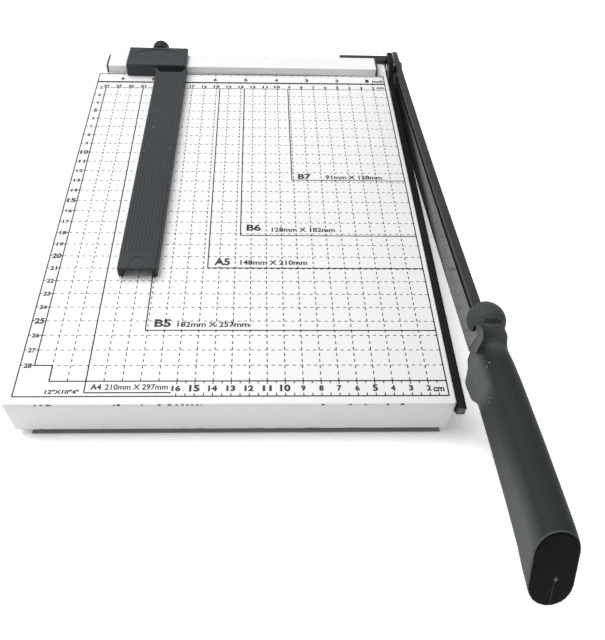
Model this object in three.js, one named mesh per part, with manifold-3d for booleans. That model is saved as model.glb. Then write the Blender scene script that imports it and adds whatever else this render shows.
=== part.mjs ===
// A guillotine paper cutter: a folded steel board with a fence, a sliding paper gauge, a fixed blade
// along the right edge and a hinged blade arm with a moulded handle.
// Millimetres. X runs to the right, Y to the back and Z up. Sizes are measured from the point where
// the cutting line meets the front face of the fence, at the level of the board.
import * as THREE from 'three';
import { mergeVertices } from 'three/addons/utils/BufferGeometryUtils.js';
import Module from 'manifold-3d';

const wasm = await Module();
wasm.setup();

// Clearances shared by all the pieces
const fit = 0.3;            // gap between pieces that are bolted, pressed or slid together
const shearGap = 0.3;       // gap between the two blades
const overrun = 3;          // how far a cut runs past the face that it opens

// The board, a folded sheet with walls and return lips
const boardLeft = 252.3;    // left wall, from the cutting line
const boardFront = 305.5;   // front wall, from the fence
const boardBack = 23;       // back wall, behind the fence's front face
const wallDepth = 27.2;
const sheet = 1.2;
const bendRadius = 1.5;
const cornerRadius = 1.8;   // the board's four upright corners
const lipWidth = 18;

// Rubber feet and their screws
const footRadius = 8;
const footFlare = 1;        // how much wider a foot is at the lip than at the table
const footHeight = 5.6;
const footRecess = 3.4;     // depth of the hole that takes the screw's head

// The fixed blade with the pivot lug at its back end
const knifeEdge = 0.9;      // its right face, left of the cutting line
const knifeWidth = 4.3;
const knifeDepth = 20;
const knifeNose = 2.4;      // how far it runs past the front wall
const noseHeight = 7;       // height of the square face left at the nose
const noseCut = 15;         // length of the slope under the nose
const lugWidth = 4;
const lugTop = 12;          // height of the lug above the board
const lugBack = 19.5;       // back face of the lug, behind the fence's front face
const lugFlat = 15;         // length of the lug's level top
const lugSlope = 12;        // length of the slope down to the blade
const lugCorner = 1.6;
const knifeScrewDrop = 11.4; // screws below the board
const knifeScrewShares = [0.06, 0.35, 0.64, 0.92];

// The pivot
const pivotY = 12;
const pivotZ = 1;
const boltRadius = 3;
const boltHeadRadius = 5.2;
const boltHeadHeight = 2.2;
const boltShares = [[1, 0], [1, 0.35], [0.85, 0.72], [0.5, 0.95]];
const washerRadius = 5.8;
const washerWidth = 0.8;
const spacerRadius = 5.6;

// The blade arm, in its own frame: the pivot is the origin and the arm is level and closed
const restLift = 5;         // degrees above closed, as photographed
const armTop = 7.4;         // top of the arm above the pivot's axis
const bowRise = 8.9;        // how far the arm's curve rises ...
const bowLength = 280;      // ... at this distance from the pivot
const armTail = 15.4;       // arm behind the pivot
const earLeft = 1.3;        // left face of the ear, right of the cutting line
const earWidth = 4;
const earFront = 18;        // where the ear runs out into the arm
const earDrop = 9;          // ear below the pivot's axis
const flangeLeft = 0.3;
const flangeWidth = 5;
const flangeThick = 3;
const webLeft = 2.7;
const webWidth = 2.4;
const webDepth = 15;        // below the flange's top
const tangEnd = 378;
const tangDrop = 9;         // bottom of the tang below the pivot's axis
const tangTop = 3.5;        // top of the tang above the pivot's axis

// The moving blade
const bladeWidth = 2.4;
const bladeStart = 22;      // from the pivot
const bladeEnd = 297.2;
const bladeLean = 6;         // how much further it runs at its top than at its edge
const bladeDepth = 22.2;    // cutting edge below the arm's top
const edgeLand = 0.5;       // thickness left at the cutting edge
const edgeBevel = 2.6;      // height of the ground bevel
const rivetCount = 4;
const rivetFirst = 58;      // first rivet, from the pivot
const rivetInset = 32.2;     // last rivet, in from the blade's front end
const rivetRadius = 1.6;
const rivetHeadRadius = 3;
const rivetHeadHeight = 1.3;
const rivetDrop = 9.5;      // below the arm's top
const rivetBite = 1.3;      // how deep a rivet goes into the blade
const rivetShares = [[1, 0], [0.8, 0.7], [0.4, 1]];

// The handle, in the arm's frame
const gripCentre = 9.9;     // middle of the handle, right of the cutting line
const gripRadius = 10.1;    // half the width of the grip
const ballCentre = 7.1;     // middle of the ball, right of the cutting line
const ballAt = 290.6;
const ballHeight = 11.7;    // ball's centre above the pivot's axis
const ballRadius = 10.5;
const ballSteps = 16;       // steps of the ball's outline, from front to back
const creaseAt = 295.6;     // crease over the ball's back
const creaseWidth = 1.6;
const creaseDepth = 0.9;
const neckAt = 299;
const neckHeight = 7.8;
const neckRadius = 7.8;
const neckStart = 0.72;     // radius of the neck inside the ball, in shares of the neck's
const gripTop = 4;          // centre of the grip's upper round above the pivot's axis, at the end
const gripLow = 11.2;       // centre of its lower round below the pivot's axis
const endAt = 409.9;        // middle of the end face
const endSlant = 22.7;      // degrees that the end face leans
const skirtFront = 297.5;   // front of the guard under the neck
const skirtLength = 35;
const skirtDrop = 25.8;     // lowest point of the guard below the pivot's axis
const skirtRound = 1.6;
const gripScrewAt = 343;

// The fence, a folded channel with an end cap at each end
const fenceLeft = 240;      // left end, from the cutting line
const fenceRight = 16;      // right end, from the cutting line
const fenceHeight = 7;
const fenceWidth = 17.2;
const fenceSheet = 1.2;
const fenceBend = 0.8;
const capWall = 1.2;
const capPlug = 4;
const bossHalf = 6;         // half the length of a screw boss inside the fence
const bossInset = 18;       // from the fence's end to the boss's middle

// The sliding gauge: a head over the fence and a long arm down the board
const gaugeSkew = 0.66;     // degrees that it hangs out of square, as photographed
const headLeft = 224.4;     // left face, from the cutting line
const headWidth = 49.4;
const headFront = 4.7;      // in front of the fence's face
const headBack = 4;         // behind the fence's back face
const headTop = 11.8;
const headRound = 1.4;
const slideGap = 0.5;       // between the gauge and what it slides on
const gaugeInset = 0.2;     // right side of the long arm, inside the head's right face
const gaugeWidth = 24.2;
const gaugeFront = 217.3;   // tip of the long arm, in front of the fence
const gaugeTop = 8.5;
const gaugeWall = 3;
const gaugeRoof = 2.4;
const gaugeRound = 0.9;
const grooveCount = 9;
const grooveWidth = 0.7;
const grooveDepth = 0.25;
const grooveMargin = 13;    // plain part left at the tip
const pocketDepth = 5;      // opening in the arm's roof in front of the head
const filletRadius = 5;     // where the arm meets the head on the left
const thumbRadius = 5;      // half-round mark at the tip
const thumbReach = 4.2;     // its centre, in from the tip
const thumbDepth = 0.3;
const dishDepth = 0.6;     // shallow dish on the head's top
const dishMargin = 3.2;     // from the head's ends
const dishBack = 3.4;       // from the head's back face
const dishRise = 11;        // how far the dish's back edge bows
const dishPower = 0.6;      // fullness of that bow
const pocketPower = 12;     // squareness of the opening's front edge

// The gauge's clamp
const clampZ = 4.5;
const screwRadius = 2;
const padRadius = 2.5;
const padWidth = 1;
const clampTravel = 0.7;    // one turn of the thread
const insertRadius = 3.4;
const knobRadius = 7;
const knobWidth = 9;
const knobNeck = 1.8;
const knobNeckRadius = 4;
const knobFlutes = 18;
const fluteRadius = 0.7;
const knobRound = 1.2;
const screwTail = 7;        // thread inside the knob

// The bracket: an angle over the board's back edge that backs up the fixed blade's lug
const bracketLeft = 44.7;   // left end, from the cutting line
const bracketSheet = 3.2;
const bracketFront = 18.4;  // behind the fence's front face
const bracketDrop = 17;     // below the board
const bracketScrewPitch = 22;
const bracketScrewInset = 8;
const bracketScrewDrop = 9.5; // screws below the board

// One small pan-head screw serves the whole cutter
const panRadius = 3.4;
const panHeight = 2.2;
const shankRadius = 1.7;
const slotWidth = 0.9;
const slotDepth = 1;

// Smoothness of curves
const roundSteps = 5;
const rodSides = 24;
const ringSides = 28;
const rivetSides = 16;
const boreSides = 12;
const fluteSides = 6;
const bowSteps = 12;
const bevelSteps = 3;

// Places that follow from the sizes above
const knifeRight = -knifeEdge;
const bladeLeft = knifeRight + shearGap;
const knifeLeft = knifeRight - knifeWidth;
const lugRight = knifeLeft + lugWidth;
const boardRight = knifeLeft - fit;
const boardBase = -wallDepth;

// Colours and finishes
function finish(color, roughness, metalness) {
  return new THREE.MeshStandardMaterial({ color, roughness, metalness });
}
const whitePaint = finish(0xeef0f1, 0.35, 0);
const blackPaint = finish(0x3a3d3f, 0.45, 0.1);
const blackPlastic = finish(0x3b3f40, 0.5, 0);
const gripPlastic = finish(0x34383a, 0.42, 0);
const bladeSteel = finish(0x74797f, 0.35, 0.8);
const zincSteel = finish(0xb9bcc0, 0.3, 0.9);
const rubber = finish(0x1c1c1d, 0.8, 0);
const brass = finish(0xb08d4a, 0.35, 0.9);

// A closed three.js geometry as a solid for cutting and joining
function solid(geometry) {
  const plain = geometry.index ? geometry.toNonIndexed() : geometry;
  plain.deleteAttribute('normal');
  plain.deleteAttribute('uv');
  const welded = mergeVertices(plain);
  const vertProperties = new Float32Array(welded.attributes.position.array);
  const triVerts = new Uint32Array(welded.index.array);
  return new wasm.Manifold(new wasm.Mesh({ numProp: 3, vertProperties, triVerts }));
}

// A solid as a named mesh
function part(name, shape, material) {
  const made = shape.getMesh();
  const geometry = new THREE.BufferGeometry();
  geometry.setAttribute('position', new THREE.BufferAttribute(made.vertProperties, 3));
  geometry.setIndex(new THREE.BufferAttribute(made.triVerts, 1));
  geometry.computeVertexNormals();
  const mesh = new THREE.Mesh(geometry, material);
  mesh.name = name;
  return mesh;
}

function joined(shapes) {
  return shapes.reduce((whole, shape) => whole.add(shape));
}

function cut(shape, tools) {
  return tools.reduce((rest, tool) => rest.subtract(tool), shape);
}

// How an outline's two directions and its depth lie along each axis
const alongAxis = {
  x: [new THREE.Vector3(0, 1, 0), new THREE.Vector3(0, 0, 1), new THREE.Vector3(1, 0, 0)],
  y: [new THREE.Vector3(1, 0, 0), new THREE.Vector3(0, 0, 1), new THREE.Vector3(0, -1, 0)],
  z: [new THREE.Vector3(1, 0, 0), new THREE.Vector3(0, 1, 0), new THREE.Vector3(0, 0, 1)],
};

// A straight solid of one outline. The outline is in (Y, Z) for axis x, (X, Z) for y and (X, Y) for z
function prism(axis, outline, from, to) {
  const shape = new THREE.Shape(outline.map(([u, v]) => new THREE.Vector2(u, v)));
  const geometry = new THREE.ExtrudeGeometry(shape, { depth: to - from, bevelEnabled: false });
  const [u, v, w] = alongAxis[axis];
  const start = axis === 'y' ? -to : from;
  geometry.applyMatrix4(new THREE.Matrix4().makeBasis(u, v, w).setPosition(w.clone().multiplyScalar(start)));
  return solid(geometry);
}

function rectangle(left, low, right, high) {
  return [[left, low], [right, low], [right, high], [left, high]];
}

// Points of an arc about (u, v), angles in turns
function arc(u, v, radius, from, to, steps) {
  return Array.from({ length: steps + 1 }, (_, i) => {
    const angle = 2 * Math.PI * (from + (to - from) * i / steps);
    return [u + radius * Math.cos(angle), v + radius * Math.sin(angle)];
  });
}

// A rectangle with rounded corners: low left, low right, high right, high left
function rounded(left, low, right, high, radii) {
  const corners = [
    [left, low, 1, 1, 0.5],
    [right, low, -1, 1, 0.75],
    [right, high, -1, -1, 0],
    [left, high, 1, -1, 0.25],
  ];
  return corners.flatMap(([u, v, inU, inV, turn], i) => {
    const radius = radii[i];
    if (!radius) return [[u, v]];
    return arc(u + inU * radius, v + inV * radius, radius, turn, turn + 0.25, roundSteps);
  });
}

function box(left, front, low, right, back, high) {
  return prism('z', rectangle(left, front, right, back), low, high);
}

// A round rod along an axis about the point (u, v)
function rod(axis, u, v, radius, from, to, sides = rodSides) {
  return prism(axis, arc(u, v, radius, 0, 1 - 1 / sides, sides - 1), from, to);
}

// A solid of revolution along an axis. The profile is in (radius, distance along the axis)
function turned(axis, u, v, profile, sides = rodSides) {
  const points = profile.map(([radius, along]) => new THREE.Vector2(radius, along));
  const geometry = new THREE.LatheGeometry(points, sides);
  const [first, second, third] = alongAxis[axis];
  const flip = new THREE.Matrix4().makeRotationX(Math.PI / 2);
  const place = new THREE.Matrix4().makeBasis(first, second, third);
  place.setPosition(first.clone().multiplyScalar(u).addScaledVector(second, v));
  geometry.applyMatrix4(flip).applyMatrix4(place);
  return solid(geometry);
}

// A pan-head screw whose head sits on the plane at seat and whose shank runs length the other way.
// way is 1 where the head lies on the high side of the seat, and -1 where it lies on the low side
function panScrew(name, axis, u, v, seat, length, way, material) {
  const profile = [
    [0, -length],
    [shankRadius, -length],
    [shankRadius, 0],
    [panRadius, 0],
    [panRadius, panHeight / 2],
    [panRadius - panHeight / 2, panHeight],
    [0, panHeight],
  ].map(([radius, along]) => [radius, (axis === 'y' ? -1 : 1) * (seat + way * along)]);
  const flipped = (axis === 'y' ? -1 : 1) * way;
  const body = turned(axis, u, v, flipped > 0 ? profile : profile.reverse());
  const top = seat + way * panHeight;
  const floor = seat + way * (panHeight - slotDepth);
  const [low, high] = [Math.min(floor, top + way * overrun), Math.max(floor, top + way * overrun)];
  const reach = panRadius + overrun;
  const slot = rectangle(u - reach, v - slotWidth / 2, u + reach, v + slotWidth / 2);
  return part(name, body.subtract(prism(axis, slot, low, high)), material);
}

// The board: a shallow tray turned upside down, with lips folded in all round
const footInset = lipWidth / 2 + sheet;
const footPlaces = [
  ['front_left', -boardLeft + footInset, -boardFront + footInset],
  ['front_right', boardRight - footInset, -boardFront + footInset],
  ['back_left', -boardLeft + footInset, boardBack - footInset],
  ['back_right', boardRight - footInset, boardBack - footInset],
];
const knifeScrewZ = -knifeScrewDrop;
const knifeScrewYs = knifeScrewShares.map((share) => -boardFront * share);
const fenceScrewXs = [-fenceLeft + bossInset, -fenceRight - bossInset];
const fenceMiddle = fenceWidth / 2;
const bracketScrewFirst = -bracketLeft + bracketScrewInset;
const bracketScrewXs = [bracketScrewFirst, bracketScrewFirst + bracketScrewPitch];
const bracketScrewZ = -bracketScrewDrop;

function trayShell(inset, low, radius) {
  const top = -inset;
  const bend = arc(radius, top - radius, radius, 0.5, 0.25, roundSteps);
  const levels = [[low, 0], ...bend.map(([draw, level]) => [level, draw])];
  const rings = levels.map(([level, draw]) => {
    const gap = inset + draw;
    const corner = cornerRadius - gap;
    return rounded(
      -boardLeft + gap, -boardFront + gap, boardRight - gap, boardBack - gap,
      [corner, corner, corner, corner],
    ).map(([x, y]) => [x, y, level]);
  });
  return loft(rings);
}

function baseTray() {
  const inside = trayShell(sheet, boardBase + sheet, bendRadius - sheet);
  const edge = sheet + lipWidth;
  const mouth = box(
    -boardLeft + edge, -boardFront + edge, boardBase - overrun,
    boardRight - edge, boardBack - edge, boardBase + 2 * sheet,
  );
  const hole = shankRadius + fit;
  const holes = [
    ...footPlaces.map(([, x, y]) => rod('z', x, y, hole, boardBase - overrun, boardBase + 2 * sheet)),
    ...fenceScrewXs.map((x) => rod('z', x, fenceMiddle, hole, -2 * sheet, overrun)),
    ...knifeScrewYs.map((y) => rod('x', y, knifeScrewZ, hole, boardRight - 2 * sheet, boardRight + overrun)),
    ...bracketScrewXs.map((x) => (
      rod('y', x, bracketScrewZ, hole, boardBack - 2 * sheet, boardBack + overrun)
    )),
  ];
  return cut(trayShell(0, boardBase, bendRadius), [inside, mouth, ...holes]);
}

// Each foot is a short cone with a recess for its screw's head
function foot(x, y) {
  const top = boardBase;
  const low = top - footHeight;
  const body = turned('z', x, y, [
    [0, low],
    [footRadius - footFlare, low],
    [footRadius, top],
    [0, top],
  ]);
  const recess = rod('z', x, y, panRadius + fit, low - overrun, low + footRecess);
  const bore = rod('z', x, y, shankRadius + fit, low, top + overrun);
  return cut(body, [recess, bore]);
}

// The fixed blade: a bar along the board's right edge, thinner and raised into a lug at the pivot
const lugFoot = lugBack - lugFlat - lugSlope;
function fixedBlade() {
  const nose = -boardFront - knifeNose;
  const bar = prism('x', [
    [nose, -noseHeight],
    [nose + noseCut, -knifeDepth],
    [lugFoot, -knifeDepth],
    [lugFoot, 0],
    [nose, 0],
  ], knifeLeft, knifeRight);
  const lugSide = [
    [lugFoot - overrun, -knifeDepth],
    [boardBack, -knifeDepth],
    [boardBack, -fit],
    [lugBack, -fit],
    ...arc(lugBack - lugCorner, lugTop - lugCorner, lugCorner, 0, 0.25, roundSteps),
    [lugBack - lugFlat, lugTop],
    [lugFoot, 0],
    [lugFoot - overrun, 0],
  ];
  const lug = prism('x', lugSide, knifeLeft, lugRight);
  const bolt = rod('x', pivotY, pivotZ, boltRadius + fit, knifeLeft - overrun, knifeRight + overrun);
  const depth = knifeWidth - sheet;
  const screws = knifeScrewYs.map((y) => (
    rod('x', y, knifeScrewZ, shankRadius + fit, knifeLeft - overrun, knifeLeft + depth)
  ));
  return cut(bar.add(lug), [bolt, ...screws]);
}

// The bracket lies on the board, goes down the back wall and has a tongue behind the lug
function pivotBracket() {
  const front = boardBack + fit;
  const back = front + bracketSheet;
  const right = boardRight - fit;
  const top = fit + bracketSheet;
  const angle = prism('x', [
    [bracketFront, fit],
    [front, fit],
    [front, -bracketDrop],
    [back, -bracketDrop],
    [back, top],
    [bracketFront, top],
  ], -bracketLeft, right);
  const tongue = box(right - lugWidth, lugBack + fit, fit, lugRight, back, top);
  const hole = shankRadius + fit;
  const holes = bracketScrewXs.map((x) => (
    rod('y', x, bracketScrewZ, hole, front - overrun, back + overrun)
  ));
  return cut(angle.add(tongue), holes);
}

// The fence: an inverted channel with two screw bosses inside
function fenceRail() {
  const round = [0, 0, fenceBend, fenceBend];
  const outer = prism('x', rounded(0, 0, fenceWidth, fenceHeight, round), -fenceLeft, -fenceRight);
  const inner = prism(
    'x',
    rectangle(fenceSheet, -overrun, fenceWidth - fenceSheet, fenceHeight - fenceSheet),
    -fenceLeft - overrun,
    -fenceRight + overrun,
  );
  const bosses = fenceScrewXs.map((x) => box(
    x - bossHalf, fenceSheet / 2, 0, x + bossHalf, fenceWidth - fenceSheet / 2, fenceHeight - fenceSheet / 2,
  ));
  const bores = fenceScrewXs.map((x) => (
    rod('z', x, fenceMiddle, shankRadius + fit, -overrun, fenceHeight - 2 * fenceSheet)
  ));
  return cut(joined([outer.subtract(inner), ...bosses]), bores);
}

function fenceCap(end, way) {
  const plate = prism(
    'x',
    rounded(0, 0, fenceWidth, fenceHeight, [0, 0, fenceBend, fenceBend]),
    Math.min(end, end + way * capWall),
    Math.max(end, end + way * capWall),
  );
  const room = fenceSheet + fit;
  const plug = prism(
    'x',
    rectangle(room, fit, fenceWidth - room, fenceHeight - room),
    Math.min(end - way * capPlug, end),
    Math.max(end - way * capPlug, end),
  );
  return plate.add(plug);
}

// The gauge: a head that straddles the fence and a channel-shaped arm that lies along the board
const headRight = -headLeft + headWidth;
const headMiddle = (headRight - headLeft) / 2;
const headRear = fenceWidth + headBack;
const gaugeRight = headRight - gaugeInset;
const gaugeLeft = gaugeRight - gaugeWidth;
const gaugeMiddle = (gaugeRight + gaugeLeft) / 2;

function gaugeHead() {
  const soft = [0, 0, headRound, headRound];
  const all = [headRound, headRound, headRound, headRound];
  const side = prism('x', rounded(-headFront, slideGap, headRear, headTop, soft), -headLeft, headRight);
  const front = prism('y', rounded(-headLeft, slideGap, headRight, headTop, soft), -headFront, headRear);
  const plan = prism('z', rounded(-headLeft, -headFront, headRight, headRear, all), slideGap, headTop);
  return side.intersect(front).intersect(plan);
}

// The long arm with rounded top edges, open below, and the fillet where it meets the head
function gaugeArm() {
  const round = [0, 0, gaugeRound, gaugeRound];
  const body = prism('y', rounded(gaugeLeft, slideGap, gaugeRight, gaugeTop, round), -gaugeFront, 0);
  const hub = [gaugeLeft - filletRadius, -headFront - filletRadius];
  const fillet = prism('z', [
    [gaugeLeft + overrun, 0],
    [hub[0], 0],
    [hub[0], -headFront],
    ...arc(...hub, filletRadius, 0.25, 0, roundSteps).slice(1),
    [gaugeLeft + overrun, hub[1]],
  ], slideGap, gaugeTop);
  return body.add(fillet);
}

// Fine grooves along the arm's top
function gaugeGrooves() {
  const pitch = (gaugeWidth - 2 * gaugeWall) / (grooveCount - 1);
  return Array.from({ length: grooveCount }, (_, i) => {
    const x = gaugeLeft + gaugeWall + i * pitch;
    return box(
      x - grooveWidth / 2, -gaugeFront + grooveMargin, gaugeTop - grooveDepth,
      x + grooveWidth / 2, -headFront, gaugeTop + overrun,
    );
  });
}

// A curved opening through the arm's roof, right in front of the head
function gaugePocket() {
  const half = gaugeWidth / 2 - gaugeWall / 3;
  const points = Array.from({ length: 4 * roundSteps + 1 }, (_, i) => {
    const across = 1 - i / (2 * roundSteps);
    return [gaugeMiddle + half * across, -headFront - pocketDepth * (1 - across ** pocketPower)];
  });
  return prism('z', points, gaugeTop - gaugeRoof - overrun, gaugeTop + overrun);
}

// The half-round mark at the arm's tip
function thumbMark() {
  const centre = -gaugeFront + thumbReach;
  const outline = [
    [gaugeMiddle + thumbRadius, -gaugeFront - overrun],
    ...arc(gaugeMiddle, centre, thumbRadius, 0, 0.5, 2 * roundSteps),
    [gaugeMiddle - thumbRadius, -gaugeFront - overrun],
  ];
  return prism('z', outline, gaugeTop - thumbDepth, gaugeTop + overrun);
}

// A shallow dish on the head's top, deepest along the arc at its back
function headDish() {
  const half = headWidth / 2 - dishMargin;
  const back = headRear - dishBack;
  const front = back - dishRise;
  const points = Array.from({ length: 4 * roundSteps + 1 }, (_, i) => {
    const across = 1 - i / (2 * roundSteps);
    return [headMiddle + half * across, front + dishRise * (1 - across ** 2) ** dishPower];
  });
  const plan = prism('z', points, headTop - dishDepth - overrun, headTop + overrun);
  return plan.intersect(prism('x', [
    [front, headTop],
    [back, headTop - dishDepth],
    [back + overrun, headTop - dishDepth],
    [back + overrun, headTop + overrun],
    [front, headTop + overrun],
  ], -headLeft, headRight));
}

const padSeat = fenceWidth + fit;
const padBack = padSeat + padWidth;
const pocketBack = padBack + clampTravel + fit;
const screwTip = padBack + fit;
const knobFront = headRear + clampTravel + fit;
const knobBack = knobFront + knobNeck + knobWidth;

function gaugeBody() {
  const channel = prism(
    'x',
    rectangle(-slideGap, -overrun, fenceWidth + slideGap, fenceHeight + slideGap),
    -headLeft - overrun,
    headRight + overrun,
  );
  const hollow = box(
    gaugeLeft + gaugeWall, -gaugeFront - overrun, -overrun,
    gaugeRight - gaugeWall, -headFront, gaugeTop - gaugeRoof,
  );
  const padHole = rod('y', headMiddle, clampZ, padRadius + fit, fenceWidth, pocketBack);
  const insertHole = rod('y', headMiddle, clampZ, insertRadius + fit, pocketBack, headRear + overrun);
  return cut(joined([gaugeHead(), gaugeArm()]), [
    channel, hollow, gaugePocket(), headDish(), thumbMark(), padHole, insertHole, ...gaugeGrooves(),
  ]);
}

// A threaded brass insert sits in the head's back wall and carries the clamp screw
function clampInsert() {
  const body = rod('y', headMiddle, clampZ, insertRadius, pocketBack + fit, headRear);
  return body.subtract(rod('y', headMiddle, clampZ, screwRadius + fit, 0, headRear + overrun));
}

function clampKnob() {
  const high = knobFront + knobNeck;
  const profile = [
    [0, knobBack],
    [knobRadius - 2 * knobRound, knobBack],
    ...arc(knobRadius - knobRound, knobBack - knobRound, knobRound, 0.25, 0, roundSteps),
    ...arc(knobRadius - knobRound, high + knobRound, knobRound, 0, -0.25, roundSteps),
    [knobNeckRadius, high],
    [knobNeckRadius, knobFront],
    [0, knobFront],
  ].map(([radius, along]) => [radius, -along]);
  const body = turned('y', headMiddle, clampZ, profile, 2 * knobFlutes);
  const flutes = Array.from({ length: knobFlutes }, (_, i) => {
    const angle = 2 * Math.PI * i / knobFlutes;
    const x = headMiddle + knobRadius * Math.cos(angle);
    const z = clampZ + knobRadius * Math.sin(angle);
    return rod('y', x, z, fluteRadius, high - overrun, knobBack + overrun, fluteSides);
  });
  const bore = rod('y', headMiddle, clampZ, screwRadius + fit, knobFront - overrun, high + screwTail + fit);
  return cut(body, [...flutes, bore]);
}

// The arm's curved top line, and a band that follows it between two depths
function armLine(along) {
  return armTop + bowRise * (along / bowLength) ** 2;
}

function armBand(from, to, high, low) {
  const steps = Math.max(2, Math.round((to - from) / (bowLength / bowSteps)));
  const places = Array.from({ length: steps + 1 }, (_, i) => from + (to - from) * i / steps);
  const under = places.map((along) => [-along, armLine(along) - low]);
  const over = places.map((along) => [-along, armLine(along) - high]);
  return [...over, ...under.reverse()];
}

const earRight = earLeft + earWidth;
const webRight = webLeft + webWidth;
const flangeRight = flangeLeft + flangeWidth;
const flangeEnd = ballAt;
const rivetPitch = (bladeEnd - rivetInset - rivetFirst) / (rivetCount - 1);
const rivetPlaces = Array.from({ length: rivetCount }, (_, i) => rivetFirst + i * rivetPitch);

const gripScrewZ = -tangDrop / 4;

// The tang runs from the web into the grip
function tangOutline(grow) {
  return [
    [-flangeEnd + 2 * overrun, armTop + grow],
    [-skirtFront, tangTop + grow],
    [-tangEnd - grow, tangTop + grow],
    [-tangEnd - grow, -tangDrop - grow],
    [-skirtFront - 2 * overrun, -tangDrop - grow],
    [-skirtFront, -grow],
    [-flangeEnd + 2 * overrun, -grow],
  ];
}

function armSpine() {
  const flange = prism('x', armBand(earFront, flangeEnd, 0, flangeThick), flangeLeft, flangeRight);
  const web = prism('x', armBand(0, flangeEnd, flangeThick / 2, webDepth), webLeft, webRight);
  const ear = prism('x', [
    [armTail - lugCorner, -earDrop],
    [armTail, -earDrop + lugCorner],
    ...arc(armTail - lugCorner, armTop - lugCorner, lugCorner, 0, 0.25, roundSteps),
    [-earFront, armLine(earFront)],
    [-earFront - overrun, armLine(earFront) - flangeThick],
    [-earFront, -earDrop],
  ], earLeft, earRight);
  const tang = prism('x', tangOutline(0), webLeft, webRight);
  const bolt = rod('x', 0, 0, boltRadius + fit, -overrun, earRight + overrun);
  const rivets = rivetPlaces.map((along) => (
    rod(
      'x', -along, armLine(along) - rivetDrop, rivetRadius + fit,
      webLeft - overrun, webRight + overrun, boreSides,
    )
  ));
  const screw = rod('x', -gripScrewAt, gripScrewZ, shankRadius + fit, webLeft - overrun, webRight + overrun);
  return cut(joined([flange, web, ear, tang]), [bolt, screw, ...rivets]);
}

// What lies past the blade's leaning front end
function pastBlade(grow) {
  const top = armLine(bladeEnd);
  const end = -bladeEnd - grow;
  return prism('x', [
    [end + bladeLean, top - 2 * bladeDepth],
    [end - 2 * bladeLean, top + bladeDepth],
    [end - 2 * bladeDepth, top + bladeDepth],
    [end - 2 * bladeDepth, top - 2 * bladeDepth],
  ], bladeLeft - 2 * overrun, bladeLeft + bladeWidth + overrun);
}

// The moving blade: flat on the cutting side, ground to an edge on the outer side
function movingBlade() {
  const last = bladeEnd + bladeLean;
  const high = flangeThick + fit;
  const right = bladeLeft + bladeWidth;
  const body = prism('x', armBand(bladeStart, last, high, bladeDepth - edgeBevel), bladeLeft, right);
  const land = prism('x', armBand(bladeStart, last, high, bladeDepth), bladeLeft, bladeLeft + edgeLand);
  const bevels = Array.from({ length: bevelSteps }, (_, i) => {
    const share = (i + 1) / (bevelSteps + 1);
    const side = bladeLeft + edgeLand + (bladeWidth - edgeLand) * (1 - share);
    const low = bladeDepth - edgeBevel * (1 - share);
    return prism('x', armBand(bladeStart, last, high, low), bladeLeft, side);
  });
  const holes = rivetPlaces.map((along) => rod(
    'x', -along, armLine(along) - rivetDrop, rivetRadius + fit,
    right - rivetBite, right + overrun, boreSides,
  ));
  return cut(joined([body, land, ...bevels]), [pastBlade(0), ...holes]);
}

function bladeRivet(along) {
  const seat = webRight + fit;
  const start = bladeLeft + bladeWidth - rivetBite + fit;
  return turned('x', -along, armLine(along) - rivetDrop, [
    [0, start],
    [rivetRadius, start],
    [rivetRadius, seat],
    ...rivetShares.map(([wide, high]) => [rivetHeadRadius * wide, seat + rivetHeadHeight * high]),
    [0, seat + rivetHeadHeight],
  ], rivetSides);
}

// A closed skin over rings of equal length
function loft(rings) {
  const count = rings[0].length;
  const points = rings.flat();
  const faces = [];
  const last = rings.length - 1;
  for (let i = 0; i < last; i += 1) {
    for (let j = 0; j < count; j += 1) {
      const a = i * count + j;
      const b = i * count + (j + 1) % count;
      faces.push(a, b, a + count, b, b + count, a + count);
    }
  }
  for (let j = 1; j < count - 1; j += 1) {
    faces.push(0, j + 1, j);
    faces.push(last * count, last * count + j, last * count + j + 1);
  }
  const geometry = new THREE.BufferGeometry();
  geometry.setAttribute('position', new THREE.Float32BufferAttribute(points.flat(), 3));
  geometry.setIndex(faces);
  return solid(geometry);
}

// One section of the handle: a round above and a round below, joined by straight sides
function gripRing(along, top, low, radius, centre = gripCentre) {
  const half = ringSides / 2;
  const ring = [];
  for (let i = 0; i < half; i += 1) {
    const angle = Math.PI * (i / (half - 1));
    ring.push([centre + radius * Math.cos(angle), -along, top + radius * Math.sin(angle)]);
  }
  for (let i = 0; i < half; i += 1) {
    const angle = Math.PI * (1 + i / (half - 1));
    ring.push([centre + radius * Math.cos(angle), -along, low + radius * Math.sin(angle)]);
  }
  return ring;
}

// The ball in front of the fingers, with a crease over its back
function gripBall() {
  const outline = arc(0, 0, ballRadius, -0.25, 0.25, ballSteps);
  const ball = turned('y', ballCentre, ballHeight, outline.map(([radius, along]) => [radius, along + ballAt]));
  const inner = Math.sqrt(ballRadius ** 2 - (creaseAt - ballAt) ** 2) - creaseDepth;
  const band = box(
    ballCentre - ballRadius / 2, -creaseAt - creaseWidth / 2, ballHeight + ballRadius / 4,
    ballCentre + ballRadius, -creaseAt + creaseWidth / 2, ballHeight + ballRadius,
  );
  const core = rod('y', ballCentre, ballHeight, inner, -creaseAt - creaseWidth, -creaseAt + creaseWidth);
  return ball.subtract(band.subtract(core));
}

// The neck behind the ball and the long grip
const gripLengthShares = [0.035, 0.07, 0.13, 0.24, 0.38, 0.55, 0.73, 0.9, 0.945];
const gripTopShares = [0.1, -0.15, -0.18, -0.02, 0.24, 0.58, 0.8, 1, 0.93];
const gripLowShares = [0.3, 0.65, 0.95, 1.06, 1, 0.97, 0.95, 0.99, 1.1];
const gripWidthShares = [0.78, 0.89, 0.96, 1, 1, 1, 1, 1, 1];
const tailTopShare = 0.2;
const tailLowShare = 1.28;

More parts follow.
